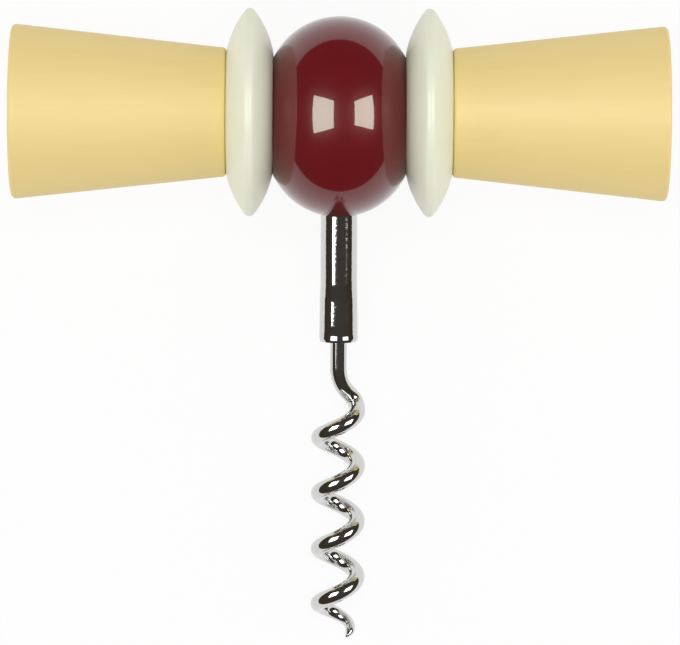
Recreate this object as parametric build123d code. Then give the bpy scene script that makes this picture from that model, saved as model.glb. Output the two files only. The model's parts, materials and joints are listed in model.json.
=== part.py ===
"""Straight-pull corkscrew: five lacquered turned beads on a steel tie rod make the handle, a chromed
shank is pinned in the middle bead by that rod, and a chromed wire worm is brazed into the shank.

Every piece is modelled in the tool's own frame: X runs along the handle, the worm points down -Z, and
the two axes cross at the origin. The finished tool is then laid down as it rests on a table, on the rims
of its two discs and the last turn of its worm. There Z is up, the handle lies along X, the worm points
along -Y, and the origin is on the table, under the middle of the tool. Lengths are in millimetres.
"""

from build123d import *

import os
from itertools import combinations
from math import asin, atan2, ceil, cos, degrees, dist, hypot, sin, sqrt, tau

# Turned cones at the ends of the handle, wide end outwards
CONE_LENGTH = 36.0
CONE_END_DIAMETER = 29.5
CONE_NECK_DIAMETER = 21.6
CONE_END_ROUND = 1.2
CONE_NECK_ROUND = 0.6

# Turned discs between the cones and the ball, lens-shaped with a small round rim
DISC_DIAMETER = 35.0
DISC_WIDTH = 7.9
DISC_HUB_DIAMETER = 20.2
DISC_RIM_RADIUS = 1.05
DISC_FLANK_RADIUS = 17.0

# Turned ball in the middle, cut flat where the discs seat, and hung a little below the handle's axis
BALL_DIAMETER = 33.8
BALL_WIDTH = 22.3
BALL_PROFILE_RADIUS = 12.4
BALL_CHEEK_ROUND = 0.5
BALL_DROP = 0.7

# Steel tie rod through the whole handle, threaded into an insert in each cone
ROD_DIAMETER = 4.0
ROD_CHAMFER = 0.4
ROD_CLEARANCE = 0.25
ROD_ENGAGEMENT = 10.0

# Threaded inserts, driven by a hexagon socket and sunk below the cone's neck
INSERT_DIAMETER = 7.0
INSERT_LENGTH = 12.0
INSERT_SINK = 1.5
INSERT_CHAMFER = 0.5
INSERT_GLUE_GAP = 0.05
INSERT_THREAD_CLEARANCE = 0.05
INSERT_SOCKET_FLATS = 5.0
INSERT_SOCKET_DEPTH = 3.0

# Chromed shank: an eye for the tie rod at the top, and a foot pressed oval round the wire
SHANK_DIAMETER = 6.2
SHANK_FOOT_WIDTH = 6.56
SHANK_FOOT_THICKNESS = 5.84
SHANK_TOP_ABOVE_AXIS = 5.0
SHANK_KINK_BELOW_AXIS = 29.0
SHANK_FOOT_BELOW_AXIS = 38.8
SHANK_TOP_CHAMFER = 0.5
SHANK_FIT = 0.05
SHANK_TOP_GAP = 0.5
SHANK_EYE_CLEARANCE = 0.1
SHANK_SOCKET_DEPTH = 14.0
SHANK_SOCKET_CLEARANCE = 0.03

# Oval sections down that foot, as shares of its length, width and thickness: the press mark, the flat, the
# neck above the lip, and the lip's bead and edge
SHANK_FOOT_SHARES = (
    (0.27, 0.97, 1.00),
    (0.73, 0.99, 1.00),
    (0.90, 0.99, 0.96),
    (0.96, 1.00, 1.02),
    (1.00, 0.95, 0.97),
)

# Chromed wire worm, right-handed: straight, bent out to the coil, coiled, then ground to a point
WIRE_DIAMETER = 2.8
WIRE_STRAIGHT = 4.6
WORM_DIAMETER = 9.2
WORM_PITCH = 9.58
WORM_LEAD_IN = 7.3
WORM_TURNS = 3.5
TAPER_TURNS = 0.5
TAPER_END_DIAMETER = 1.5
POINT_TURNS = 0.07
POINT_END_DIAMETER = 0.5
POINT_INSET = 1.4
ARCS_PER_TURN = 4
SAMPLES_PER_TURN = 72
HALF_TURN = 0.5

# Overrun of every cut past the face that it opens
CUT_OVERRUN = 1.0

# Places along the handle, from the middle outwards
DISC_INNER_X = BALL_WIDTH / 2
CONE_NECK_X = DISC_INNER_X + DISC_WIDTH
CONE_END_X = CONE_NECK_X + CONE_LENGTH
INSERT_INNER_X = CONE_NECK_X + INSERT_SINK
ROD_END_X = INSERT_INNER_X + ROD_ENGAGEMENT

# Places down the worm, from the handle's axis
WIRE_TOP_DEPTH = SHANK_FOOT_BELOW_AXIS - SHANK_SOCKET_DEPTH
LEAD_IN_DEPTH = SHANK_FOOT_BELOW_AXIS + WIRE_STRAIGHT
COIL_DEPTH = LEAD_IN_DEPTH + WORM_LEAD_IN
COIL_RADIUS = (WORM_DIAMETER - WIRE_DIAMETER) / 2

# Places along the coil, in turns from its start
TAPER_END = WORM_TURNS + TAPER_TURNS
POINT_END = TAPER_END + POINT_TURNS


def bar_along_x(diameter, start_x, end_x):
    """A plain round bar on the handle's axis."""
    return Plane.YZ.offset(start_x) * extrude(Circle(diameter / 2), end_x - start_x)


def bar_along_z(diameter, bottom, top):
    """A plain round bar on the worm's axis."""
    return Pos(0, 0, bottom) * extrude(Circle(diameter / 2), top - bottom)


def first_edges(solid, axis):
    """The edges of a turned piece at its near end along an axis."""
    return solid.edges().group_by(axis)[0]


def last_edges(solid, axis):
    """The edges of a turned piece at its far end along an axis."""
    return solid.edges().group_by(axis)[-1]


def right_cone():
    """The cone, turned about the handle's axis, with a blind bore that its insert fills."""
    profile = Polygon(
        (CONE_NECK_X, 0),
        (CONE_END_X, 0),
        (CONE_END_X, CONE_END_DIAMETER / 2),
        (CONE_NECK_X, CONE_NECK_DIAMETER / 2),
        align=None,
    )
    cone = revolve(profile, Axis.X)
    cone = fillet(last_edges(cone, Axis.X), CONE_END_ROUND)
    cone = fillet(first_edges(cone, Axis.X), CONE_NECK_ROUND)
    bore = INSERT_DIAMETER + 2 * INSERT_GLUE_GAP
    return cone - bar_along_x(bore, CONE_NECK_X - CUT_OVERRUN, INSERT_INNER_X + INSERT_LENGTH)


def flank_end(hub_edge, rim_centre):
    """The point where a disc's flank arc, sprung from the hub's edge, runs smoothly into the rim arc."""
    span = rim_centre - hub_edge
    inner_radius = DISC_FLANK_RADIUS - DISC_RIM_RADIUS
    along = (DISC_FLANK_RADIUS**2 - inner_radius**2 + span.length**2) / (2 * span.length)
    aside = sqrt(DISC_FLANK_RADIUS**2 - along**2)
    flank_centre = hub_edge + span.normalized() * along + span.normalized().rotate(Axis.Z, 90) * aside
    return flank_centre + (rim_centre - flank_centre).normalized() * DISC_FLANK_RADIUS


def right_disc():
    """The disc: two bulged flanks that meet in a round rim, bored for the tie rod."""
    half_width = DISC_WIDTH / 2
    hub_edge = Vector(half_width, DISC_HUB_DIAMETER / 2)
    rim_top = Vector(0, DISC_DIAMETER / 2)
    outer_end = flank_end(hub_edge, rim_top - Vector(0, DISC_RIM_RADIUS))
    inner_end = Vector(-outer_end.X, outer_end.Y)
    inner_edge = Vector(-hub_edge.X, hub_edge.Y)
    outline = Polyline(inner_edge, (-half_width, 0), (half_width, 0), hub_edge)
    outline += RadiusArc(hub_edge, outer_end, -DISC_FLANK_RADIUS)
    outline += ThreePointArc(outer_end, rim_top, inner_end)
    outline += RadiusArc(inner_end, inner_edge, -DISC_FLANK_RADIUS)
    disc = Pos(DISC_INNER_X + half_width, 0, 0) * revolve(make_face(outline), Axis.X)
    bore = ROD_DIAMETER + 2 * ROD_CLEARANCE
    return disc - bar_along_x(bore, DISC_INNER_X - CUT_OVERRUN, CONE_NECK_X + CUT_OVERRUN)


def centre_ball():
    """The ball: a full round belly between flat cheeks, bored across for the rod and up for the shank."""
    half_width = BALL_WIDTH / 2
    belly = BALL_DIAMETER / 2
    cheek = belly - BALL_PROFILE_RADIUS + sqrt(BALL_PROFILE_RADIUS**2 - half_width**2)
    outline = Polyline((-half_width, cheek), (-half_width, 0), (half_width, 0), (half_width, cheek))
    outline += ThreePointArc((half_width, cheek), (0, belly), (-half_width, cheek))
    ball = revolve(make_face(outline), Axis.X)
    cheek_edges = first_edges(ball, Axis.X) + last_edges(ball, Axis.X)
    ball = Pos(0, 0, -BALL_DROP) * fillet(cheek_edges, BALL_CHEEK_ROUND)
    rod_bore = bar_along_x(
        ROD_DIAMETER + 2 * ROD_CLEARANCE, -half_width - CUT_OVERRUN, half_width + CUT_OVERRUN
    )
    shank_bore = bar_along_z(
        SHANK_DIAMETER + 2 * SHANK_FIT,
        -belly - BALL_DROP - CUT_OVERRUN,
        SHANK_TOP_ABOVE_AXIS + SHANK_TOP_GAP,
    )
    return ball - rod_bore - shank_bore


def tie_rod():
    """The rod that clamps the beads together and passes through the shank's eye."""
    rod = bar_along_x(ROD_DIAMETER, -ROD_END_X, ROD_END_X)
    return chamfer(first_edges(rod, Axis.X) + last_edges(rod, Axis.X), ROD_CHAMFER)


def right_insert():
    """The threaded insert: a sleeve with a hexagon socket at the end that faces the disc."""
    outer_x = INSERT_INNER_X + INSERT_LENGTH
    sleeve = bar_along_x(INSERT_DIAMETER, INSERT_INNER_X, outer_x)
    sleeve = chamfer(last_edges(sleeve, Axis.X), INSERT_CHAMFER)
    sleeve -= bar_along_x(
        ROD_DIAMETER + 2 * INSERT_THREAD_CLEARANCE, INSERT_INNER_X - CUT_OVERRUN, outer_x + CUT_OVERRUN
    )
    hexagon = RegularPolygon(INSERT_SOCKET_FLATS / 2, 6, major_radius=False)
    return sleeve - Plane.YZ.offset(INSERT_INNER_X) * extrude(hexagon, INSERT_SOCKET_DEPTH)


def shank_foot():
    """The foot: the round bar pressed oval below its kink, with a neck and a beaded lip at its end."""
    length = SHANK_FOOT_BELOW_AXIS - SHANK_KINK_BELOW_AXIS
    sections = [Pos(0, 0, -SHANK_KINK_BELOW_AXIS) * Circle(SHANK_DIAMETER / 2)]
    for length_share, width_share, thickness_share in SHANK_FOOT_SHARES:
        oval = Ellipse(SHANK_FOOT_WIDTH * width_share / 2, SHANK_FOOT_THICKNESS * thickness_share / 2)
        sections.append(Pos(0, 0, -SHANK_KINK_BELOW_AXIS - length * length_share) * oval)
    return loft(sections, ruled=True)


def shank():
    """The shank: a round bar on its pressed foot, with an eye for the tie rod and a socket for the wire."""
    radius = SHANK_DIAMETER / 2
    bar = bar_along_z(SHANK_DIAMETER, -SHANK_KINK_BELOW_AXIS, SHANK_TOP_ABOVE_AXIS)
    bar = chamfer(last_edges(bar, Axis.Z), SHANK_TOP_CHAMFER)
    eye = bar_along_x(
        ROD_DIAMETER + 2 * SHANK_EYE_CLEARANCE, -radius - CUT_OVERRUN, radius + CUT_OVERRUN
    )
    socket = bar_along_z(
        WIRE_DIAMETER + 2 * SHANK_SOCKET_CLEARANCE,
        -SHANK_FOOT_BELOW_AXIS - CUT_OVERRUN,
        -WIRE_TOP_DEPTH,
    )
    return bar + shank_foot() - eye - socket


def wire_at(turns):
    """The wire's centre and direction after some turns of the coil, which starts at +X and comes forward."""
    angle = tau * turns
    ground_turns = POINT_END - WORM_TURNS
    ground_share = max(0, turns - WORM_TURNS) / ground_turns
    radius = COIL_RADIUS - POINT_INSET * ground_share**2
    closing = -2 * POINT_INSET * ground_share / ground_turns
    centre = Vector(radius * cos(angle), -radius * sin(angle), -COIL_DEPTH - WORM_PITCH * turns)
    direction = Vector(
        closing * cos(angle) - tau * radius * sin(angle),
        -closing * sin(angle) - tau * radius * cos(angle),
        -WORM_PITCH,
    )
    return centre, direction.normalized()


def wire_radius_at(turns):
    """The wire's radius there: full along the coil, then evenly down its taper and its point."""
    if turns <= WORM_TURNS:
        return WIRE_DIAMETER / 2
    if turns <= TAPER_END:
        taper_share = (turns - WORM_TURNS) / TAPER_TURNS
        return (WIRE_DIAMETER + (TAPER_END_DIAMETER - WIRE_DIAMETER) * taper_share) / 2
    point_share = (turns - TAPER_END) / POINT_TURNS
    return (TAPER_END_DIAMETER + (POINT_END_DIAMETER - TAPER_END_DIAMETER) * point_share) / 2


def biarc(start, leaving, end, arriving):
    """Two arcs that leave one point and reach another in the given directions, smooth where they meet."""
    run = end - start
    heading = leaving + arriving
    bend = 2 * (1 - leaving.dot(arriving))
    reach = (sqrt(run.dot(heading) ** 2 + bend * run.dot(run)) - run.dot(heading)) / bend
    first_corner = start + leaving * reach
    second_corner = end - arriving * reach
    middle = (first_corner + second_corner) / 2
    return [
        Edge.make_tangent_arc(start, leaving, middle),
        Edge.make_tangent_arc(middle, second_corner - first_corner, end),
    ]


def coil_arcs(start_turns, end_turns):
    """The coil's centre line between two places, in arcs of about a quarter turn."""
    count = ceil((end_turns - start_turns) * ARCS_PER_TURN)
    stops = [start_turns + (end_turns - start_turns) * step / count for step in range(count + 1)]
    arcs = []
    for begin, finish in zip(stops, stops[1:]):
        arcs += biarc(*wire_at(begin), *wire_at(finish))
    return arcs


def round_section(centre, direction, radius):
    """A round section of the wire, square to its direction."""
    return Plane(centre, z_dir=direction) * Circle(radius)


def ground_length(start_turns, end_turns):
    """A length of the coil that is ground from one diameter to a smaller one."""
    ends = [round_section(*wire_at(turns), wire_radius_at(turns)) for turns in (start_turns, end_turns)]
    return sweep(ends, path=Wire(coil_arcs(start_turns, end_turns)), multisection=True)


def worm():
    """The worm: one wire from the shank's socket to the end of the coil, then its taper and its point."""
    down = Vector(0, 0, -1)
    wire_top = down * WIRE_TOP_DEPTH
    lead_in = down * LEAD_IN_DEPTH
    path = [Edge.make_line(wire_top, lead_in)]
    path += biarc(lead_in, down, *wire_at(0))
    path += coil_arcs(0, WORM_TURNS)
    wire = sweep(round_section(wire_top, down, WIRE_DIAMETER / 2), path=Wire(path))
    return wire + ground_length(WORM_TURNS, TAPER_END) + ground_length(TAPER_END, POINT_END)


def coil_samples():
    """The coil's turns, centre and wire radius at points close enough together to measure it by."""
    count = ceil(POINT_END * SAMPLES_PER_TURN)
    places = [POINT_END * step / count for step in range(count + 1)]
    return [(turns, tuple(wire_at(turns)[0]), wire_radius_at(turns)) for turns in places]


def least_gap_between_turns():
    """The narrowest gap that the coil leaves between one turn and the next."""
    return min(
        dist(centre, next_centre) - radius - next_radius
        for (turns, centre, radius), (next_turns, next_centre, next_radius) in combinations(coil_samples(), 2)
        if next_turns - turns > HALF_TURN
    )


def resting_lean():
    """The angle, in degrees, by which the worm dips from level until its coil meets the table."""
    leans = []
    for _, (_, y, z), radius in coil_samples():
        drop = DISC_DIAMETER / 2 - radius
        leans.append(asin(drop / hypot(y, z)) - atan2(y, -z))
    return degrees(min(leans))


def laid_down(nodes):
    """The nodes turned from the tool's frame to rest on the table, about the middle of the tool."""
    tip_down = Rot(resting_lean() - 90, 0, 0)
    turned = {name: tip_down * solid for name, solid in nodes.items()}
    box = Compound(children=[Compound(solid.solids()) for solid in turned.values()]).bounding_box()
    place = Pos(0, -box.center().Y, DISC_DIAMETER / 2)
    return {name: place * solid for name, solid in turned.items()}


def tool_nodes():
    """Every piece of the corkscrew by name, in the tool's frame."""
    nodes = {"centre_ball": centre_ball(), "tie_rod": tie_rod(), "shank": shank(), "worm": worm()}
    pairs = {"cone": right_cone(), "disc": right_disc(), "insert": right_insert()}
    for name, solid in pairs.items():
        nodes[f"right_{name}"] = solid
        nodes[f"left_{name}"] = Rot(0, 0, 180) * solid
    return nodes


os.makedirs("parts", exist_ok=True)
for node_name, node in laid_down(tool_nodes()).items():
    export_step(node, f"parts/{node_name}.step")
print(f"resting lean {resting_lean():.3f} degrees")
print(f"least gap between turns of the worm {least_gap_between_turns():.3f} mm")
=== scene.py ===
import json
from math import asin, atan, atan2, ceil, cos, degrees, hypot, pi, radians, sin, sqrt, tan, tau

import bpy
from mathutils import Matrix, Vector
from numpy import interp, linspace


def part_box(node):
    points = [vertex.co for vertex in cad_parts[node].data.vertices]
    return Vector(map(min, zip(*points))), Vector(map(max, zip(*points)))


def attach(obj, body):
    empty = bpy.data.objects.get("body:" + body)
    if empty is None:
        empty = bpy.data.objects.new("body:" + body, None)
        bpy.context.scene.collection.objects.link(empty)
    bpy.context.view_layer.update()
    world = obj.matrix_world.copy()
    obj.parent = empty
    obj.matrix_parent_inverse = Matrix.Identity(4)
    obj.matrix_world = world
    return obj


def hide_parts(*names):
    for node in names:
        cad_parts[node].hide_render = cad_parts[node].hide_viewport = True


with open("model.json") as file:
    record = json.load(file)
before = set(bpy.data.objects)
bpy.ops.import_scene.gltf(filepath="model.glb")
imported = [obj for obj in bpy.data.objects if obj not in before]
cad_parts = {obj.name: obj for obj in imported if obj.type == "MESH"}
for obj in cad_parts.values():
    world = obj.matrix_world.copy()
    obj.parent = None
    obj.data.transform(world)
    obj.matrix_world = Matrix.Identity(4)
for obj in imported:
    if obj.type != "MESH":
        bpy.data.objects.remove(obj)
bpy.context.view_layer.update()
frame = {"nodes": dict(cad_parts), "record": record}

# Lengths are in metres, as the frame's are
MM = 0.001
MICRON = 0.000001

# The handle's axis runs along X through the discs, and the worm's axis crosses it, dipping to the table
DISC_LOW, DISC_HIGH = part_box("right_disc")
BALL_LOW, BALL_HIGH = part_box("centre_ball")
CONE_LOW, CONE_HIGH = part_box("right_cone")
HANDLE_MIDDLE = Vector((0, (DISC_LOW.y + DISC_HIGH.y) / 2, (DISC_LOW.z + DISC_HIGH.z) / 2))
MOUNTS = {mount["name"]: mount for mount in frame["record"]["mounts"]}
DOWN_THE_WORM = Vector(MOUNTS["worm_tip"]["axis"]).normalized()
WORM_LEAN = asin(-DOWN_THE_WORM.z)

# Turned cones, wide end outwards, with a blind bore for the insert
CONE_NECK_RADIUS = 10.8 * MM
CONE_END_RADIUS = 14.75 * MM
CONE_NECK_ROUND = 0.6 * MM
CONE_END_ROUND = 0.75 * MM
CONE_BORE_RADIUS = 3.55 * MM
CONE_BORE_DEPTH = 13.5 * MM

# Turned discs: bulged flanks that run into a small round rim
DISC_RADIUS = (DISC_HIGH.z - DISC_LOW.z) / 2
DISC_HUB_RADIUS = 10.1 * MM
DISC_RIM_RADIUS = 1.05 * MM
DISC_FLANK_RADIUS = 17.0 * MM
ROD_BORE_RADIUS = 2.25 * MM

# Turned ball between flat cheeks, hung a little below the handle's axis
BALL_RADIUS = (BALL_HIGH.z - BALL_LOW.z) / 2
BALL_PROFILE_RADIUS = 12.4 * MM
BALL_CHEEK_ROUND = 0.5 * MM
BALL_DROP = 0.7 * MM
SHANK_BORE_RADIUS = 3.15 * MM
SHANK_BORE_TOP = 5.5 * MM

# Shank: round bar, then a foot pressed oval round the wire, with a beaded lip
SHANK_RADIUS = 3.1 * MM
SHANK_TOP = 5.0 * MM
SHANK_TOP_CHAMFER = 0.5 * MM
SHANK_EYE_RADIUS = 2.1 * MM
SHANK_KINK = 29.0 * MM
SHANK_FOOT = 38.8 * MM
SHANK_FOOT_HALF_WIDTH = 3.28 * MM
SHANK_FOOT_HALF_THICKNESS = 2.92 * MM
SHANK_FOOT_SHARES = (
    (0.27, 0.97, 1.00),
    (0.73, 0.99, 1.00),
    (0.90, 0.99, 0.96),
    (0.96, 1.00, 1.02),
    (1.00, 0.95, 0.97),
)
SHANK_SOCKET_RADIUS = 1.43 * MM
SHANK_SOCKET_DEPTH = 14.0 * MM
SHANK_SOCKET_TOP = SHANK_FOOT - SHANK_SOCKET_DEPTH
SHANK_CREASE_SOFTNESS = 0.25 * MM

# Wire worm: straight, bent out to the coil, coiled right-handed, then ground to a point
WIRE_RADIUS = 1.4 * MM
WIRE_STRAIGHT = 4.6 * MM
WORM_LEAD_IN = 7.3 * MM
COIL_RADIUS = 3.2 * MM
COIL_PITCH = 9.58 * MM
COIL_TURNS = 3.5
TAPER_TURNS = 0.5
TAPER_END_RADIUS = 0.75 * MM
POINT_TURNS = 0.07
POINT_END_RADIUS = 0.25 * MM
POINT_INSET = 1.4 * MM
POINT_ROUND_DEGREES = (30, 60, 85)

# How finely the pieces are turned, drilled and coiled
TURNED_STEPS = 256
ROUND_STEPS = 12
FLANK_STEPS = 32
BELLY_STEPS = 112
BORE_STEPS = 96
SHANK_STEPS = 128
SHANK_FOOT_RINGS = 101
SHANK_CREASE_SAMPLES = 9
COIL_STEPS_PER_TURN = 96
WIRE_BEVEL_STEPS = 15
CUT_OVERRUN = 1.0 * MM
MERGE_DISTANCE = 0.5 * MICRON
SMOOTH_ANGLE = radians(30)

# The camera hangs over the table and looks straight down, with the handle at the top of the picture
IMAGE_WIDTH_PX = 680
SENSOR_WIDTH_MM = 36.0
CAMERA_ABOVE_HANDLE = 0.909
PX_PER_METRE_AT_HANDLE = 5952.0
CAMERA_X = 0.24 * MM
CAMERA_Y = 0.43 * MM
CAMERA_ROLL = radians(0.25)

# White light table under the tool, and the dark floor that its gloss shows past the table's edges
FLOOR_SIDE = 30.0
TABLE_HALF_WIDTH = 0.75
TABLE_HALF_DEPTH = 0.23
TABLE_EDGE_SOFTNESS = 0.03
TABLE_GLOW_SHARE = 0.9

# Softboxes: inner and outer edge as place and height over the ball's top, ends along the worm, and turn
LEFT_INNER_EDGE = (-0.157, 1.000)
LEFT_OUTER_EDGE = (-0.520, 0.565)
LEFT_ENDS = (-0.269, 0.289)
LEFT_TURN = radians(0)
RIGHT_INNER_EDGE = (0.440, 1.000)
RIGHT_OUTER_EDGE = (0.674, 0.466)
RIGHT_ENDS = (-0.208, 0.301)
RIGHT_TURN = radians(1.2)

# How bright the softboxes show in each finish, from lamps set a little apart
LACQUER_GLINT = 10.8
LACQUER_GLINT_COLOUR = "#F8FFEF"
WIRE_GLINT = 5.0
LEFT_SHANK_GLINT = 5.0
RIGHT_SHANK_GLINT = 2.4
CHROME_GLINT_COLOUR = "#FFFFFF"
LAMP_GAP = 2.0 * MM

# Dark room round the table, and the soft fill that it gives matt surfaces
ROOM_FILL = 0.49
ROOM_WALLS = "#3D3426"
ROOM_CEILING = "#474340"

# White scrim over the tool, which lights its matt surfaces
SCRIM_SIDE = 0.7
SCRIM_ABOVE_HANDLE = 1.0
SCRIM_RADIANCE = 3.05

# White boards that stand left and right of the table and fill the sides that face them
BOARD_DISTANCE = 0.55
BOARD_LENGTH = 0.9
BOARD_HEIGHT = 0.4
BOARD_RADIANCE = 0.8

# The pieces that each of a softbox's glint lamps shows in
LACQUERED = (
    "right_turned_cone",
    "left_turned_cone",
    "right_turned_disc",
    "left_turned_disc",
    "turned_ball",
)
CHROMED_SHANK = ("pressed_shank",)
CHROMED_WIRE = ("coiled_worm",)

# Sprayed lacquer: a faint orange peel with a few dust nibs caught in it, and slow clouds of colour
PEEL_SIZE = 1.8 * MM
YELLOW_PEEL_HEIGHT = 4 * MICRON
MINT_PEEL_HEIGHT = 2 * MICRON
BURGUNDY_PEEL_HEIGHT = 1 * MICRON
NIB_SPACING = 2.5 * MM
NIB_RADIUS = 0.14 * MM
NIB_HEIGHT = 10 * MICRON
MINT_CLOUD_SIZE = 9.0 * MM
BURGUNDY_CLOUD_SIZE = 7.0 * MM

# Chrome plate: shallow pits all over, and finer ones where its right side is worn
PIT_SIZE = 0.6 * MM
SHANK_PIT_DEPTH = 14 * MICRON
WIRE_PIT_DEPTH = 0.4 * MICRON
WORN_PIT_SIZE = 0.25 * MM
SHANK_WORN_PIT_DEPTH = 5 * MICRON
WIRE_WORN_PIT_DEPTH = 0.4 * MICRON
WORN_EDGE_SOFTNESS = 0.6 * MM
SHANK_ROUGHNESS = 0.06
WIRE_ROUGHNESS = 0.09

# Beech grain, which runs along the cones
GRAIN_LENGTH = 45.0 * MM
GRAIN_WIDTH = 1.3 * MM

# Zinc crystals and lathe rings of the hidden metal, drawn as coarse as they need to show
ZINC_CRYSTAL_SIZE = 0.8 * MM
LATHE_RING_SPACING = 0.9425 * MM
LATHE_RING_HEIGHT = 3 * MICRON

# How often a wave texture repeats at a scale of 1
WAVE_TEXTURE_PERIOD = tau / 20


def linear(hex_colour):
    """Linear red, green, blue and alpha of an sRGB colour written as six hex digits."""
    channels = [int(hex_colour[i:i + 2], 16) / 255 for i in (1, 3, 5)]
    return [c / 12.92 if c <= 0.04045 else ((c + 0.055) / 1.055) ** 2.4 for c in channels] + [1.0]


def set_inputs(tree, node, inputs):
    """Fill a node's inputs with plain values, or link them to other nodes' outputs."""
    for name, value in inputs.items():
        if isinstance(value, bpy.types.NodeSocket):
            tree.links.new(value, node.inputs[name])
        else:
            node.inputs[name].default_value = value


def add_node(tree, kind, settings=None, inputs=None):
    """Add a node with its settings, and fill or link its inputs."""
    node = tree.nodes.new(kind)
    for name, value in (settings or {}).items():
        setattr(node, name, value)
    set_inputs(tree, node, inputs or {})
    return node


def new_material(name):
    """A new material, its node tree and its shader."""
    material = bpy.data.materials.new(name)
    material.use_nodes = True
    return material, material.node_tree, material.node_tree.nodes["Principled BSDF"]


def lacquer_skin(tree, place, peel_height):
    """Normal of a lacquer skin, whose peel makes glints waver and whose nibs catch a speck of light."""
    peel = add_node(tree, "ShaderNodeTexNoise", inputs={
        "Vector": place, "Scale": 1 / PEEL_SIZE, "Detail": 2.0})
    wavy = add_node(tree, "ShaderNodeBump", inputs={
        "Height": peel.outputs["Fac"], "Strength": 1.0, "Distance": peel_height})
    specks = add_node(tree, "ShaderNodeTexVoronoi", inputs={"Vector": place, "Scale": 1 / NIB_SPACING})
    nibs = add_node(tree, "ShaderNodeMapRange", {"interpolation_type": "SMOOTHSTEP"}, {
        "Value": specks.outputs["Distance"],
        "From Min": 0.0,
        "From Max": NIB_RADIUS / NIB_SPACING,
        "To Min": 1.0,
        "To Max": 0.0,
    })
    dusty = add_node(tree, "ShaderNodeBump", inputs={
        "Height": nibs.outputs["Result"],
        "Strength": 1.0,
        "Distance": NIB_HEIGHT,
        "Normal": wavy.outputs["Normal"],
    })
    return dusty.outputs["Normal"]


def yellow_lacquer():
    """Pale yellow satin lacquer on turned beech: a wide soft sheen, with the grain just telling through."""
    material, tree, shader = new_material("yellow_lacquer")
    place = add_node(tree, "ShaderNodeTexCoord").outputs["Object"]
    along_grain = add_node(tree, "ShaderNodeMapping", inputs={
        "Vector": place, "Scale": (1 / GRAIN_LENGTH, 1 / GRAIN_WIDTH, 1 / GRAIN_WIDTH)})
    grain = add_node(tree, "ShaderNodeTexNoise", inputs={
        "Vector": along_grain.outputs["Vector"], "Scale": 1.0, "Detail": 3.0, "Roughness": 0.6})
    colour = add_node(tree, "ShaderNodeMix", {"data_type": "RGBA"}, {
        "Factor": grain.outputs["Fac"], "A": linear("#EED38A"), "B": linear("#F2D992")})
    skin = lacquer_skin(tree, place, YELLOW_PEEL_HEIGHT)
    set_inputs(tree, shader, {
        "Base Color": colour.outputs["Result"],
        "Roughness": 0.6,
        "Specular IOR Level": 0.35,
        "Normal": skin,
        "Coat Weight": 0.1,
        "Coat Roughness": 0.2,
        "Coat Normal": skin,
    })
    return material


def mint_lacquer():
    """Pale mint semi-gloss lacquer on turned beech: milky, with dim mirror images at a slant."""
    material, tree, shader = new_material("mint_lacquer")
    place = add_node(tree, "ShaderNodeTexCoord").outputs["Object"]
    cloud = add_node(tree, "ShaderNodeTexNoise", inputs={
        "Vector": place, "Scale": 1 / MINT_CLOUD_SIZE, "Detail": 3.0})
    colour = add_node(tree, "ShaderNodeMix", {"data_type": "RGBA"}, {
        "Factor": cloud.outputs["Fac"], "A": linear("#EBECD5"), "B": linear("#EFF1DB")})
    skin = lacquer_skin(tree, place, MINT_PEEL_HEIGHT)
    set_inputs(tree, shader, {
        "Base Color": colour.outputs["Result"],
        "Roughness": 0.55,
        "Specular IOR Level": 0.3,
        "Normal": skin,
        "Coat Weight": 0.3,
        "Coat Roughness": 0.05,
        "Coat Normal": skin,
    })
    return material


def burgundy_lacquer():
    """Deep red gloss lacquer on turned beech: dark in depth, with clear images of lamps and table."""
    material, tree, shader = new_material("burgundy_lacquer")
    place = add_node(tree, "ShaderNodeTexCoord").outputs["Object"]
    cloud = add_node(tree, "ShaderNodeTexNoise", inputs={
        "Vector": place, "Scale": 1 / BURGUNDY_CLOUD_SIZE, "Detail": 3.0})
    colour = add_node(tree, "ShaderNodeMix", {"data_type": "RGBA"}, {
        "Factor": cloud.outputs["Fac"], "A": linear("#660D14"), "B": linear("#701118")})
    skin = lacquer_skin(tree, place, BURGUNDY_PEEL_HEIGHT)
    set_inputs(tree, shader, {
        "Base Color": colour.outputs["Result"],
        "Roughness": 0.3,
        "Specular IOR Level": 0.13,
        "Coat Weight": 1.0,
        "Coat Roughness": 0.03,
        "Coat Normal": skin,
    })
    return material


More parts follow.
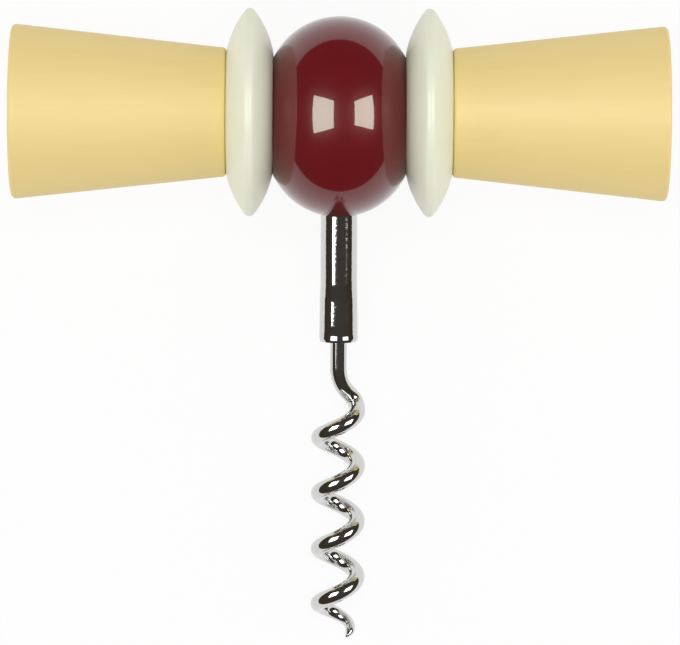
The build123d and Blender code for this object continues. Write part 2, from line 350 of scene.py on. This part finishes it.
def chrome_plate(name, roughness, pit_depth, worn_depth):
    """Bright chrome on drawn steel: a mirror whose pits fray what it shows, more so on its worn side."""
    material, tree, shader = new_material(name)
    place = add_node(tree, "ShaderNodeTexCoord").outputs["Object"]
    pits = add_node(tree, "ShaderNodeTexNoise", inputs={
        "Vector": place, "Scale": 1 / PIT_SIZE, "Detail": 2.0, "Roughness": 0.6})
    pitted = add_node(tree, "ShaderNodeBump", inputs={
        "Height": pits.outputs["Fac"], "Strength": 1.0, "Distance": pit_depth})
    sides = add_node(tree, "ShaderNodeSeparateXYZ", inputs={"Vector": place})
    wear = add_node(tree, "ShaderNodeMapRange", {"interpolation_type": "SMOOTHSTEP"}, {
        "Value": sides.outputs["X"],
        "From Min": 0.0,
        "From Max": WORN_EDGE_SOFTNESS,
        "To Min": 0.0,
        "To Max": 1.0,
    })
    specks = add_node(tree, "ShaderNodeTexNoise", inputs={
        "Vector": place, "Scale": 1 / WORN_PIT_SIZE, "Detail": 2.0, "Roughness": 0.6})
    worn_pits = add_node(tree, "ShaderNodeMath", {"operation": "MULTIPLY"}, {
        0: specks.outputs["Fac"], 1: wear.outputs["Result"]})
    worn = add_node(tree, "ShaderNodeBump", inputs={
        "Height": worn_pits.outputs["Value"],
        "Strength": 1.0,
        "Distance": worn_depth,
        "Normal": pitted.outputs["Normal"],
    })
    set_inputs(tree, shader, {
        "Base Color": linear("#D2D2D0"),
        "Metallic": 1.0,
        "Roughness": roughness,
        "Normal": worn.outputs["Normal"],
    })
    return material


def zinc_plate():
    """Zinc-plated steel of the tie rod: grey metal whose crystals give it an uneven sheen."""
    material, tree, shader = new_material("zinc_plate")
    place = add_node(tree, "ShaderNodeTexCoord").outputs["Object"]
    crystals = add_node(tree, "ShaderNodeTexVoronoi", inputs={
        "Vector": place, "Scale": 1 / ZINC_CRYSTAL_SIZE})
    sheen = add_node(tree, "ShaderNodeMapRange", inputs={
        "Value": crystals.outputs["Distance"], "To Min": 0.3, "To Max": 0.45})
    set_inputs(tree, shader, {
        "Base Color": linear("#B3B4B7"), "Metallic": 1.0, "Roughness": sheen.outputs["Result"]})
    return material


def turned_brass():
    """Turned brass of the inserts: warm metal whose lathe rings draw its sheen out lengthways."""
    material, tree, shader = new_material("turned_brass")
    place = add_node(tree, "ShaderNodeTexCoord").outputs["Object"]
    rings = add_node(tree, "ShaderNodeTexWave", {"bands_direction": "X"}, {
        "Vector": place, "Scale": WAVE_TEXTURE_PERIOD / LATHE_RING_SPACING, "Distortion": 0.5})
    skin = add_node(tree, "ShaderNodeBump", inputs={
        "Height": rings.outputs["Fac"], "Strength": 1.0, "Distance": LATHE_RING_HEIGHT})
    set_inputs(tree, shader, {
        "Base Color": linear("#DCBE82"),
        "Metallic": 1.0,
        "Roughness": 0.25,
        "Normal": skin.outputs["Normal"],
    })
    return material


def pick(piece):
    """Select one piece alone."""
    bpy.ops.object.select_all(action="DESELECT")
    piece.select_set(True)
    bpy.context.view_layer.objects.active = piece


def new_piece(name):
    """Name the object that was just added and start to edit its mesh."""
    piece = bpy.context.object
    piece.name = name
    bpy.ops.object.mode_set(mode="EDIT")
    return piece


def close_mesh():
    """Merge the doubles of the mesh that is being edited, turn its faces outwards and stop editing."""
    bpy.ops.mesh.select_all(action="SELECT")
    bpy.ops.mesh.remove_doubles(threshold=MERGE_DISTANCE)
    bpy.ops.mesh.normals_make_consistent(inside=False)
    bpy.ops.object.mode_set(mode="OBJECT")


def arc(centre, radius, start, end, steps):
    """Points of an outline along an arc, between two angles in degrees from +X towards the rim."""
    angles = [radians(start + (end - start) * step / steps) for step in range(steps + 1)]
    return [(centre[0] + radius * cos(angle), centre[1] + radius * sin(angle)) for angle in angles]


def turned(name, outline):
    """A piece turned about X from half its outline, a line of places along X and radii."""
    bpy.ops.object.select_all(action="DESELECT")
    bpy.ops.mesh.primitive_plane_add(size=MM)
    piece = new_piece(name)
    bpy.ops.mesh.merge(type="CENTER")
    x, radius = outline[0]
    bpy.ops.transform.translate(value=(x, 0, radius))
    for next_x, next_radius in outline[1:]:
        bpy.ops.mesh.extrude_vertices_move(
            TRANSFORM_OT_translate={"value": (next_x - x, 0, next_radius - radius)})
        x, radius = next_x, next_radius
    bpy.ops.mesh.select_all(action="SELECT")
    bpy.ops.mesh.spin(steps=TURNED_STEPS, angle=tau, center=(0, 0, 0), axis=(1, 0, 0))
    close_mesh()
    return piece


def bore(piece, radius, start, end):
    """Drill a round hole in a piece from one point to another."""
    run = end - start
    bpy.ops.object.select_all(action="DESELECT")
    bpy.ops.mesh.primitive_cylinder_add(
        vertices=BORE_STEPS,
        radius=radius,
        depth=run.length,
        location=(start + end) / 2,
        rotation=run.to_track_quat("Z", "Y").to_euler(),
    )
    drill = bpy.context.object
    bpy.context.view_layer.objects.active = piece
    bpy.ops.object.modifier_add(type="BOOLEAN")
    cut = piece.modifiers[-1]
    cut.object = drill
    cut.solver = "EXACT"
    bpy.ops.object.modifier_apply(modifier=cut.name)
    bpy.data.objects.remove(drill)


def copied(piece, name):
    """A copy of a piece, with its own mesh."""
    pick(piece)
    bpy.ops.object.duplicate()
    copy = bpy.context.object
    copy.name = name
    return copy


def put(piece, turn, place):
    """Turn a piece and move it to its place, and leave both in its mesh."""
    pick(piece)
    piece.rotation_euler = turn
    piece.location = place
    bpy.ops.object.transform_apply()


def finish(piece, node, material):
    """Smooth a piece's curved faces, dress it, and let it stand for its node."""
    pick(piece)
    bpy.ops.object.shade_smooth_by_angle(angle=SMOOTH_ANGLE)
    bpy.ops.object.modifier_add(type="WEIGHTED_NORMAL")
    piece.modifiers[-1].keep_sharp = True
    bpy.ops.object.modifier_apply(modifier=piece.modifiers[-1].name)
    piece.data.materials.clear()
    piece.data.materials.append(material)
    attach(piece, "root")
    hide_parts(node)


def cone_outline():
    """Half the right cone's outline, from the bottom of its bore round to the middle of its wide end."""
    neck_x = CONE_LOW.x
    end_x = CONE_HIGH.x
    slope = atan((CONE_END_RADIUS - CONE_NECK_RADIUS) / (end_x - neck_x))
    rounds = []
    for x, size in ((neck_x + CONE_NECK_ROUND, CONE_NECK_ROUND), (end_x - CONE_END_ROUND, CONE_END_ROUND)):
        flank_radius = CONE_NECK_RADIUS + (x - neck_x) * tan(slope)
        rounds.append(((x, flank_radius - size / cos(slope)), size))
    leaning = 90 + degrees(slope)
    neck = arc(*rounds[0], 180, leaning, ROUND_STEPS)
    end = arc(*rounds[1], leaning, 0, ROUND_STEPS)
    (x, radius), (far_x, far_radius) = neck[-1], end[0]
    flank = [
        (x + (far_x - x) * step / FLANK_STEPS, radius + (far_radius - radius) * step / FLANK_STEPS)
        for step in range(1, FLANK_STEPS)
    ]
    bottom = neck_x + CONE_BORE_DEPTH
    bore_line = [(bottom, 0), (bottom, CONE_BORE_RADIUS), (neck_x, CONE_BORE_RADIUS)]
    return bore_line + neck + flank + end + [(end_x, 0)]


def disc_outline():
    """Half a disc's outline about its own middle, right round from its bore."""
    half_width = (DISC_HIGH.x - DISC_LOW.x) / 2
    hub = Vector((half_width, DISC_HUB_RADIUS))
    rim = Vector((0, DISC_RADIUS - DISC_RIM_RADIUS))
    span = rim - hub
    reach = DISC_FLANK_RADIUS - DISC_RIM_RADIUS
    along = (DISC_FLANK_RADIUS**2 - reach**2 + span.length_squared) / (2 * span.length)
    aside = sqrt(DISC_FLANK_RADIUS**2 - along**2)
    inward = Vector((-span.y, span.x)).normalized()
    flank = hub + span.normalized() * along + inward * aside
    hub_angle = degrees(atan2(hub.y - flank.y, hub.x - flank.x))
    rim_angle = degrees(atan2(rim.y - flank.y, rim.x - flank.x))
    far_flank = (-flank.x, flank.y)
    outline = [(half_width, ROD_BORE_RADIUS)]
    outline += arc(flank, DISC_FLANK_RADIUS, hub_angle, rim_angle, FLANK_STEPS)
    outline += arc(rim, DISC_RIM_RADIUS, rim_angle, 180 - rim_angle, 2 * ROUND_STEPS)[1:-1]
    outline += arc(far_flank, DISC_FLANK_RADIUS, 180 - rim_angle, 180 - hub_angle, FLANK_STEPS)
    return outline + [(-half_width, ROD_BORE_RADIUS), outline[0]]


def ball_outline():
    """Half the ball's outline about its own middle, from cheek to cheek."""
    half_width = BALL_HIGH.x
    belly_centre = BALL_RADIUS - BALL_PROFILE_RADIUS
    cheek_x = half_width - BALL_CHEEK_ROUND
    rise = sqrt((BALL_PROFILE_RADIUS - BALL_CHEEK_ROUND) ** 2 - cheek_x**2)
    cheek = belly_centre + rise
    lean = degrees(atan2(rise, cheek_x))
    outline = [(half_width, 0)]
    outline += arc((cheek_x, cheek), BALL_CHEEK_ROUND, 0, lean, ROUND_STEPS)
    outline += arc((0, belly_centre), BALL_PROFILE_RADIUS, lean, 180 - lean, BELLY_STEPS)[1:-1]
    outline += arc((-cheek_x, cheek), BALL_CHEEK_ROUND, 180 - lean, 180, ROUND_STEPS)
    return outline + [(-half_width, 0)]


def turned_pairs(yellow, mint):
    """The two cones and the two discs, the left ones copied from the right and turned round."""
    right_cone = turned("right_turned_cone", cone_outline())
    right_disc = turned("right_turned_disc", disc_outline())
    put(right_disc, (0, 0, 0), Vector(((DISC_LOW.x + DISC_HIGH.x) / 2, 0, 0)))
    left_cone = copied(right_cone, "left_turned_cone")
    left_disc = copied(right_disc, "left_turned_disc")
    sides = (
        ("right", 0, right_cone, right_disc),
        ("left", pi, left_cone, left_disc),
    )
    for side, turn, cone, disc in sides:
        put(cone, (0, 0, turn), HANDLE_MIDDLE)
        finish(cone, side + "_cone", yellow)
        put(disc, (0, 0, turn), HANDLE_MIDDLE)
        finish(disc, side + "_disc", mint)


def turned_ball(burgundy):
    """The ball, drilled across for the tie rod and up for the shank."""
    ball = turned("turned_ball", ball_outline())
    put(ball, (0, 0, 0), HANDLE_MIDDLE + DOWN_THE_WORM * BALL_DROP)
    past_cheek = Vector((BALL_HIGH.x + CUT_OVERRUN, 0, 0))
    bore(ball, ROD_BORE_RADIUS, HANDLE_MIDDLE - past_cheek, HANDLE_MIDDLE + past_cheek)
    past_belly = BALL_RADIUS + BALL_DROP + CUT_OVERRUN
    bore(
        ball,
        SHANK_BORE_RADIUS,
        HANDLE_MIDDLE - DOWN_THE_WORM * SHANK_BORE_TOP,
        HANDLE_MIDDLE + DOWN_THE_WORM * past_belly,
    )
    finish(ball, "centre_ball", burgundy)


def shank_rings():
    """Depth below the handle's axis, half-width and half-thickness of each ring down the shank."""
    length = SHANK_FOOT - SHANK_KINK
    depths = [SHANK_KINK] + [SHANK_KINK + length * shares[0] for shares in SHANK_FOOT_SHARES]
    widths = [SHANK_RADIUS] + [SHANK_FOOT_HALF_WIDTH * shares[1] for shares in SHANK_FOOT_SHARES]
    thicknesses = [SHANK_RADIUS] + [SHANK_FOOT_HALF_THICKNESS * shares[2] for shares in SHANK_FOOT_SHARES]
    softness = SHANK_CREASE_SOFTNESS
    rings = [(SHANK_TOP_CHAMFER - SHANK_TOP, SHANK_RADIUS, SHANK_RADIUS)]
    for depth in linspace(SHANK_KINK - softness, SHANK_FOOT, SHANK_FOOT_RINGS):
        nearby = linspace(depth - softness, depth + softness, SHANK_CREASE_SAMPLES)
        width = interp(nearby, depths, widths).mean()
        thickness = interp(nearby, depths, thicknesses).mean()
        rings.append((depth, width, thickness))
    return rings


def pressed_shank(chrome):
    """The shank, drawn down ring by ring, with its eye for the tie rod and its socket for the wire."""
    bpy.ops.object.select_all(action="DESELECT")
    width = thickness = SHANK_RADIUS - SHANK_TOP_CHAMFER
    depth = -SHANK_TOP
    bpy.ops.mesh.primitive_circle_add(vertices=SHANK_STEPS, radius=width, fill_type="NGON")
    shank = new_piece("pressed_shank")
    bpy.ops.transform.translate(value=(0, 0, SHANK_TOP))
    socket = [(end, SHANK_SOCKET_RADIUS, SHANK_SOCKET_RADIUS) for end in (SHANK_FOOT, SHANK_SOCKET_TOP)]
    for next_depth, next_width, next_thickness in shank_rings() + socket:
        bpy.ops.mesh.extrude_region_move(TRANSFORM_OT_translate={"value": (0, 0, depth - next_depth)})
        bpy.ops.transform.resize(
            value=(next_width / width, next_thickness / thickness, 1),
            center_override=(0, 0, -next_depth),
        )
        depth, width, thickness = next_depth, next_width, next_thickness
    close_mesh()
    past_side = Vector((SHANK_RADIUS + CUT_OVERRUN, 0, 0))
    bore(shank, SHANK_EYE_RADIUS, -past_side, past_side)
    put(shank, (WORM_LEAN - pi / 2, 0, 0), HANDLE_MIDDLE)
    finish(shank, "shank", chrome)


def coil_at(turns):
    """The wire's centre, direction and radius after some turns of the coil, in the shank's own frame."""
    angle = tau * turns
    ground_turns = TAPER_TURNS + POINT_TURNS
    ground_share = max(0, turns - COIL_TURNS) / ground_turns
    reach = COIL_RADIUS - POINT_INSET * ground_share**2
    closing = -2 * POINT_INSET * ground_share / ground_turns
    depth = SHANK_FOOT + WIRE_STRAIGHT + WORM_LEAD_IN + COIL_PITCH * turns
    centre = Vector((reach * cos(angle), -reach * sin(angle), -depth))
    direction = Vector((
        closing * cos(angle) - tau * reach * sin(angle),
        -closing * sin(angle) - tau * reach * cos(angle),
        -COIL_PITCH,
    ))
    taper_share = min(1, max(0, turns - COIL_TURNS) / TAPER_TURNS)
    point_share = max(0, turns - COIL_TURNS - TAPER_TURNS) / POINT_TURNS
    radius = WIRE_RADIUS + (TAPER_END_RADIUS - WIRE_RADIUS) * taper_share
    radius += (POINT_END_RADIUS - TAPER_END_RADIUS) * point_share
    return centre, direction.normalized(), radius


def lead_in():
    """Points of the wire's bend from the straight length out to the start of the coil."""
    start = Vector((0, 0, -SHANK_FOOT - WIRE_STRAIGHT))
    leaving = Vector((0, 0, -1))
    end, arriving, _ = coil_at(0)
    run = end - start
    heading = leaving + arriving
    bend = 2 * (1 - leaving.dot(arriving))
    reach = (sqrt(run.dot(heading) ** 2 + bend * run.dot(run)) - run.dot(heading)) / bend
    corners = (start + leaving * reach, end - arriving * reach)
    middle = (corners[0] + corners[1]) / 2
    steps = COIL_STEPS_PER_TURN // 4
    points = []
    for begin, corner, stop in ((start, corners[0], middle), (middle, corners[1], end)):
        for step in range(steps):
            share = step / steps
            points.append(begin.lerp(corner, share).lerp(corner.lerp(stop, share), share))
    return points


def wire_path():
    """Centres and radii down the whole wire, from the shank's socket to the ground point."""
    top = Vector((0, 0, -SHANK_SOCKET_TOP))
    path = [(top, WIRE_RADIUS)] + [(point, WIRE_RADIUS) for point in lead_in()]
    turns = COIL_TURNS + TAPER_TURNS + POINT_TURNS
    count = ceil(turns * COIL_STEPS_PER_TURN)
    for step in range(count + 1):
        centre, direction, radius = coil_at(turns * step / count)
        path.append((centre, radius))
    for angle in map(radians, POINT_ROUND_DEGREES):
        ahead = centre + direction * POINT_END_RADIUS * sin(angle)
        path.append((ahead, POINT_END_RADIUS * cos(angle)))
    return path


def coiled_worm(chrome):
    """The worm: a round wire bent along its path."""
    bpy.ops.object.select_all(action="DESELECT")
    bpy.ops.curve.primitive_nurbs_path_add()
    worm = bpy.context.object
    worm.name = "coiled_worm"
    curve = worm.data
    curve.splines.clear()
    line = curve.splines.new("POLY")
    path = wire_path()
    line.points.add(len(path) - 1)
    for point, (centre, radius) in zip(line.points, path):
        point.co = (*centre, 1.0)
        point.radius = radius / WIRE_RADIUS
    curve.bevel_depth = WIRE_RADIUS
    curve.bevel_resolution = WIRE_BEVEL_STEPS
    curve.use_fill_caps = True
    bpy.ops.object.convert(target="MESH")
    worm = bpy.context.object
    bpy.ops.object.mode_set(mode="EDIT")
    close_mesh()
    put(worm, (WORM_LEAN - pi / 2, 0, 0), HANDLE_MIDDLE)
    finish(worm, "worm", chrome)


def dress_hidden(zinc, brass):
    """Dress the tie rod and its two inserts, which the beads hide."""
    for node, metal in (("tie_rod", zinc), ("left_insert", brass), ("right_insert", brass)):
        frame["nodes"][node].data.materials.clear()
        frame["nodes"][node].data.materials.append(metal)


def table_material():
    """White opal light table: it glows under the tool, and its far part is dark to all but the camera."""
    material, tree, shader = new_material("white_table")
    tree.nodes.remove(shader)
    rays = add_node(tree, "ShaderNodeLightPath")
    place = add_node(tree, "ShaderNodeTexCoord")
    middle = add_node(tree, "ShaderNodeMapping", inputs={
        "Vector": place.outputs["Object"], "Location": (0, -HANDLE_MIDDLE.y, 0)})
    size = add_node(tree, "ShaderNodeVectorMath", {"operation": "ABSOLUTE"}, {0: middle.outputs["Vector"]})
    sides = add_node(tree, "ShaderNodeSeparateXYZ", inputs={"Vector": size.outputs["Vector"]})
    inside = []
    for axis, edge in (("X", TABLE_HALF_WIDTH), ("Y", TABLE_HALF_DEPTH)):
        inside.append(add_node(tree, "ShaderNodeMapRange", {"interpolation_type": "SMOOTHSTEP"}, {
            "Value": sides.outputs[axis],
            "From Min": edge - TABLE_EDGE_SOFTNESS,
            "From Max": edge + TABLE_EDGE_SOFTNESS,
            "To Min": 1.0,
            "To Max": 0.0,
        }))
    on_table = add_node(tree, "ShaderNodeMath", {"operation": "MULTIPLY"}, {
        0: inside[0].outputs["Result"], 1: inside[1].outputs["Result"]})
    white = add_node(tree, "ShaderNodeMath", {"operation": "MAXIMUM"}, {
        0: rays.outputs["Is Camera Ray"], 1: on_table.outputs["Value"]})
    glow_share = add_node(tree, "ShaderNodeMath", {"operation": "MULTIPLY"}, {
        0: white.outputs["Value"], 1: TABLE_GLOW_SHARE})
    matt_colour = add_node(tree, "ShaderNodeMix", {"data_type": "RGBA"}, {
        "Factor": white.outputs["Value"], "A": linear("#101010"), "B": linear("#F4F4F4")})
    matt = add_node(tree, "ShaderNodeBsdfDiffuse", inputs={"Color": matt_colour.outputs["Result"]})
    glow = add_node(tree, "ShaderNodeEmission", inputs={"Color": linear("#FFFFFF"), "Strength": 1.0})
    surface = add_node(tree, "ShaderNodeMixShader", inputs={
        "Fac": glow_share.outputs["Value"], 1: matt.outputs["BSDF"], 2: glow.outputs["Emission"]})
    set_inputs(tree, tree.nodes["Material Output"], {"Surface": surface.outputs["Shader"]})
    return material


def light_table():
    """The pale floor that the tool lies on."""
    bpy.ops.object.select_all(action="DESELECT")
    bpy.ops.mesh.primitive_plane_add(size=FLOOR_SIDE)
    table = bpy.context.object
    table.name = "light_table"
    table.data.materials.append(table_material())


def glint_group(name, pieces):
    """The pieces that a glint lamp shows in."""
    group = bpy.data.collections.new(name)
    for piece in pieces:
        group.objects.link(bpy.data.objects[piece])
    return group


def softbox(name, inner, outer, ends, turn, shank_glint):
    """A softbox, by its glints in the lacquer, the wire and the shank, each at its own level."""
    width = hypot(outer[0] - inner[0], outer[1] - inner[1])
    depth = ends[1] - ends[0]
    side = 1 if outer[0] > inner[0] else -1
    lamps = (
        ("lacquer_glint", LACQUER_GLINT, LACQUER_GLINT_COLOUR, LACQUERED),
        ("wire_glint", WIRE_GLINT, CHROME_GLINT_COLOUR, CHROMED_WIRE),
        ("shank_glint", shank_glint, CHROME_GLINT_COLOUR, CHROMED_SHANK),
    )
    for index, (part, radiance, colour, pieces) in enumerate(lamps):
        lamp = bpy.data.lights.new(name + "_" + part, "AREA")
        lamp.shape = "RECTANGLE"
        lamp.size = width
        lamp.size_y = depth
        lamp.color = linear(colour)[:3]
        lamp.energy = radiance * pi * width * depth
        holder = bpy.data.objects.new(lamp.name, lamp)
        holder.location = (
            (inner[0] + outer[0]) / 2,
            HANDLE_MIDDLE.y + (ends[0] + ends[1]) / 2,
            BALL_HIGH.z + (inner[1] + outer[1]) / 2 + index * LAMP_GAP,
        )
        holder.rotation_mode = "ZYX"
        holder.rotation_euler = (0, side * atan2(inner[1] - outer[1], abs(outer[0] - inner[0])), turn)
        holder.visible_camera = False
        holder.visible_diffuse = False
        holder.light_linking.receiver_collection = glint_group(lamp.name, pieces)
        bpy.context.scene.collection.objects.link(holder)


def overhead_scrim():
    """The scrim: soft light from over the tool on matt surfaces alone."""
    lamp = bpy.data.lights.new("overhead_scrim", "AREA")
    lamp.size = SCRIM_SIDE
    lamp.energy = SCRIM_RADIANCE * pi * SCRIM_SIDE**2
    holder = bpy.data.objects.new("overhead_scrim", lamp)
    holder.location = (0, HANDLE_MIDDLE.y, HANDLE_MIDDLE.z + SCRIM_ABOVE_HANDLE)
    holder.visible_camera = False
    holder.visible_glossy = False
    bpy.context.scene.collection.objects.link(holder)


def side_boards():
    """The two white boards: they fill matt surfaces, and the gloss shows the dark room over them."""
    for name, side in (("left_board", -1), ("right_board", 1)):
        lamp = bpy.data.lights.new(name, "AREA")
        lamp.shape = "RECTANGLE"
        lamp.size = BOARD_HEIGHT
        lamp.size_y = BOARD_LENGTH
        lamp.energy = BOARD_RADIANCE * pi * BOARD_HEIGHT * BOARD_LENGTH
        holder = bpy.data.objects.new(name, lamp)
        holder.location = (side * BOARD_DISTANCE, HANDLE_MIDDLE.y, BOARD_HEIGHT / 2)
        holder.rotation_euler = (0, side * pi / 2, 0)
        holder.visible_camera = False
        holder.visible_glossy = False
        bpy.context.scene.collection.objects.link(holder)


def dark_studio():
    """The room over the table: dark in the gloss, a soft fill on matt surfaces, and white to the camera."""
    world = bpy.data.worlds.new("studio")
    bpy.context.scene.world = world
    world.use_nodes = True
    tree = world.node_tree
    rays = add_node(tree, "ShaderNodeLightPath")
    direction = add_node(tree, "ShaderNodeTexCoord")
    height = add_node(tree, "ShaderNodeSeparateXYZ", inputs={"Vector": direction.outputs["Generated"]})
    colour = add_node(tree, "ShaderNodeMix", {"data_type": "RGBA"}, {
        "Factor": height.outputs["Z"], "A": linear(ROOM_WALLS), "B": linear(ROOM_CEILING)})
    room = tree.nodes["Background"]
    set_inputs(tree, room, {"Color": colour.outputs["Result"], "Strength": 1.0})
    fill = add_node(tree, "ShaderNodeBackground", inputs={
        "Color": linear("#FFFFFF"), "Strength": ROOM_FILL})
    backdrop = add_node(tree, "ShaderNodeBackground", inputs={
        "Color": linear("#FFFFFF"), "Strength": 1.0})
    unseen = add_node(tree, "ShaderNodeMixShader", inputs={
        "Fac": rays.outputs["Is Diffuse Ray"],
        1: room.outputs["Background"],
        2: fill.outputs["Background"],
    })
    seen = add_node(tree, "ShaderNodeMixShader", inputs={
        "Fac": rays.outputs["Is Camera Ray"],
        1: unseen.outputs["Shader"],
        2: backdrop.outputs["Background"],
    })
    set_inputs(tree, tree.nodes["World Output"], {"Surface": seen.outputs["Shader"]})


def overhead_camera():
    """The camera over the table."""
    lens = bpy.data.cameras.new("camera")
    lens.sensor_fit = "HORIZONTAL"
    lens.sensor_width = SENSOR_WIDTH_MM
    lens.lens = SENSOR_WIDTH_MM * CAMERA_ABOVE_HANDLE * PX_PER_METRE_AT_HANDLE / IMAGE_WIDTH_PX
    holder = bpy.data.objects.new("camera", lens)
    holder.location = (CAMERA_X, CAMERA_Y, HANDLE_MIDDLE.z + CAMERA_ABOVE_HANDLE)
    holder.rotation_euler = (0, 0, CAMERA_ROLL)
    bpy.context.scene.collection.objects.link(holder)
    bpy.context.scene.camera = holder


turned_pairs(yellow_lacquer(), mint_lacquer())
turned_ball(burgundy_lacquer())
pressed_shank(chrome_plate("chrome_on_shank", SHANK_ROUGHNESS, SHANK_PIT_DEPTH, SHANK_WORN_PIT_DEPTH))
coiled_worm(chrome_plate("chrome_on_wire", WIRE_ROUGHNESS, WIRE_PIT_DEPTH, WIRE_WORN_PIT_DEPTH))
dress_hidden(zinc_plate(), turned_brass())
light_table()
softbox("left_softbox", LEFT_INNER_EDGE, LEFT_OUTER_EDGE, LEFT_ENDS, LEFT_TURN, LEFT_SHANK_GLINT)
softbox("right_softbox", RIGHT_INNER_EDGE, RIGHT_OUTER_EDGE, RIGHT_ENDS, RIGHT_TURN, RIGHT_SHANK_GLINT)
overhead_scrim()
side_boards()
dark_studio()
overhead_camera()
bpy.context.scene.view_settings.view_transform = "Standard"
